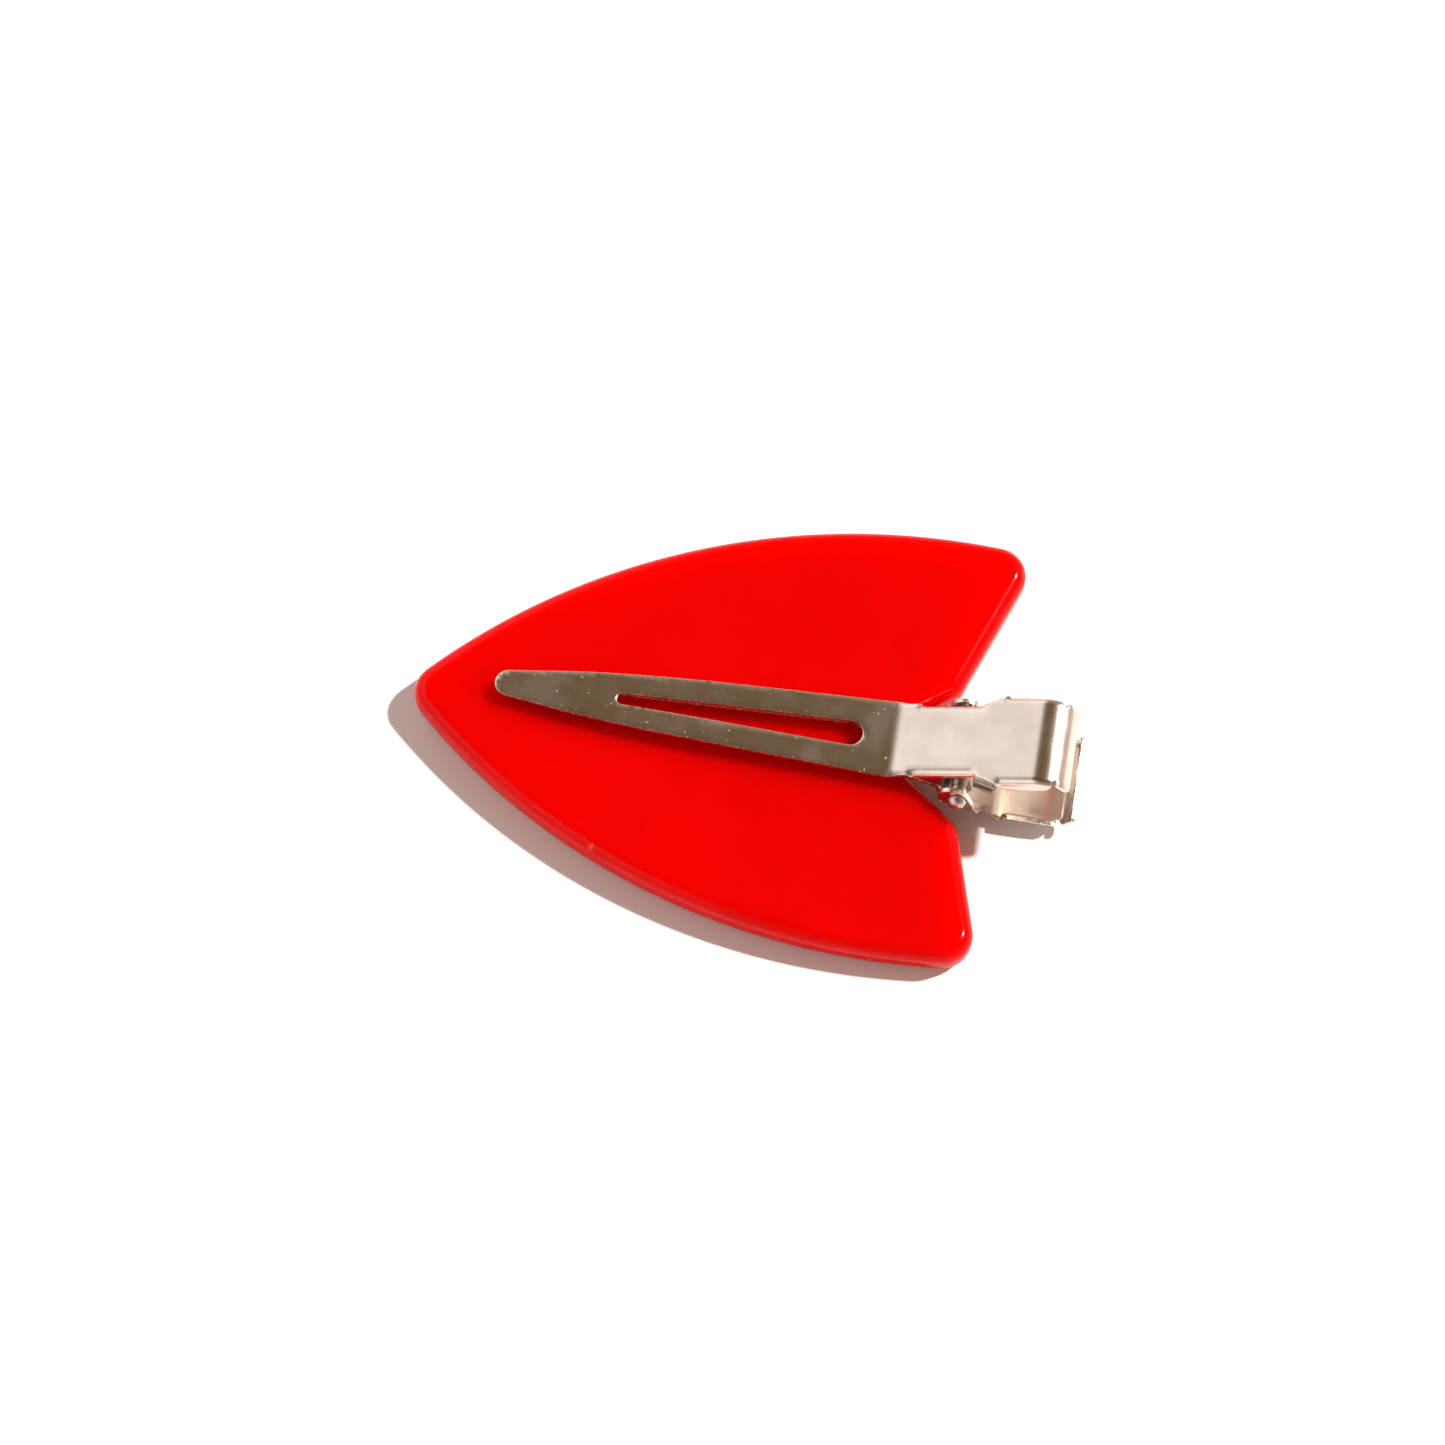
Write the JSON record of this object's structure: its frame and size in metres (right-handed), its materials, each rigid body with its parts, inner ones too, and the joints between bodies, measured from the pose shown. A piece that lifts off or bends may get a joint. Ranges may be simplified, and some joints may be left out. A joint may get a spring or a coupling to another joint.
{
  "type": "hair clip",
  "caption": "Sprung single-prong steel hair clip glued to the back of a red petal-shaped plate.",
  "frame": {"origin": "on the plate's flat front face, half-way along the clip and under its centre line", "axes": "+X along the clip from the prong's tip to the finger levers, +Y along the hinge pin, +Z out of the plate's back"},
  "size_m": [0.0668, 0.0457, 0.0106],
  "materials": {
    "red_acetate": "polished gloss",
    "clear_glue": "dried clear adhesive",
    "plated_steel": "bright nickel plate",
    "pin_steel": "bright nickel plate",
    "spring_wire": "drawn spring wire"
  },
  "bodies": {
    "plate_side": {"petal_plate": "red_acetate", "glue_bed": "clear_glue", "lower_jaw": "plated_steel", "hinge_pin": "pin_steel", "return_spring": "spring_wire"},
    "upper_side": {"upper_jaw": "plated_steel"}
  },
  "joints": [
    {"name": "squeeze", "type": "hinge", "parent": "plate_side", "child": "upper_side", "pos_m": [0.02165, 0, 0.005], "axis": [0, 1, 0], "range_deg": [0, 30], "stiffness_Nm_per_rad": 0.03, "springref_deg": -68.75, "deforming": ["return_spring"]}
  ]
}
